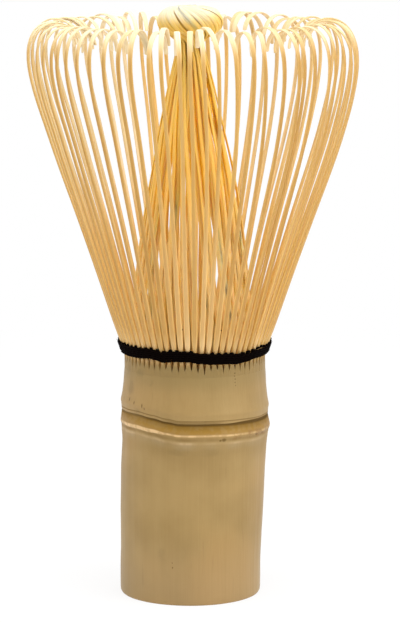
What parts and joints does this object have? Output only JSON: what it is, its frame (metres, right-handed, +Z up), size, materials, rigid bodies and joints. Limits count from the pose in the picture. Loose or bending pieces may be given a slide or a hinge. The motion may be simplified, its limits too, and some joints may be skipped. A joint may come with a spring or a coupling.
{
  "type": "matcha whisk",
  "caption": "Bamboo tea whisk: hollow handle, flared ring of hooked outer tines, inner bundle of tines twisted into a bun, and a thread binding.",
  "frame": {"origin": "centre of the whisk's outline on the surface that it stands on, which is the axis of its tines", "axes": "+Z up along the whisk from the foot to the tines; -Y is the side seen in the picture"},
  "size_m": [0.0606, 0.0606, 0.1101],
  "materials": {
    "bamboo_skin": "smooth, satin dried bamboo skin, tan, with faint fibre streaks",
    "bamboo_pith": "raw inner bamboo, matt and pale",
    "bamboo_outer_tine": "split and shaved bamboo, straw to cream, satin on the skin side",
    "bamboo_inner_tine": "split and shaved bamboo, warm straw, matt",
    "black_thread": "matt black twisted cotton thread"
  },
  "bodies": {
    "root": {"handle_culm": "bamboo_skin", "node_diaphragm": "bamboo_pith", "outer_tines_01": "bamboo_outer_tine", "outer_tines_02": "bamboo_outer_tine", "outer_tines_03": "bamboo_outer_tine", "outer_tines_04": "bamboo_outer_tine", "outer_tines_05": "bamboo_outer_tine", "outer_tines_06": "bamboo_outer_tine", "outer_tines_07": "bamboo_outer_tine", "outer_tines_08": "bamboo_outer_tine", "outer_tines_09": "bamboo_outer_tine", "outer_tines_10": "bamboo_outer_tine", "outer_tines_11": "bamboo_outer_tine", "outer_tines_12": "bamboo_outer_tine", "outer_tines_13": "bamboo_outer_tine", "outer_tines_14": "bamboo_outer_tine", "outer_tines_15": "bamboo_outer_tine", "outer_tines_16": "bamboo_outer_tine", "outer_tines_17": "bamboo_outer_tine", "inner_tines_01": "bamboo_inner_tine", "inner_tines_02": "bamboo_inner_tine", "inner_tines_03": "bamboo_inner_tine", "inner_tines_04": "bamboo_inner_tine", "inner_tines_05": "bamboo_inner_tine", "inner_tines_06": "bamboo_inner_tine", "inner_tines_07": "bamboo_inner_tine", "inner_tines_08": "bamboo_inner_tine", "inner_tines_09": "bamboo_inner_tine", "inner_tines_10": "bamboo_inner_tine", "inner_tines_11": "bamboo_inner_tine", "inner_tines_12": "bamboo_inner_tine", "inner_tines_13": "bamboo_inner_tine", "inner_tines_14": "bamboo_inner_tine", "inner_tines_15": "bamboo_inner_tine", "inner_tines_16": "bamboo_inner_tine", "inner_tines_17": "bamboo_inner_tine", "binding_thread": "black_thread", "thread_knot": "black_thread"}
  },
  "joints": []
}
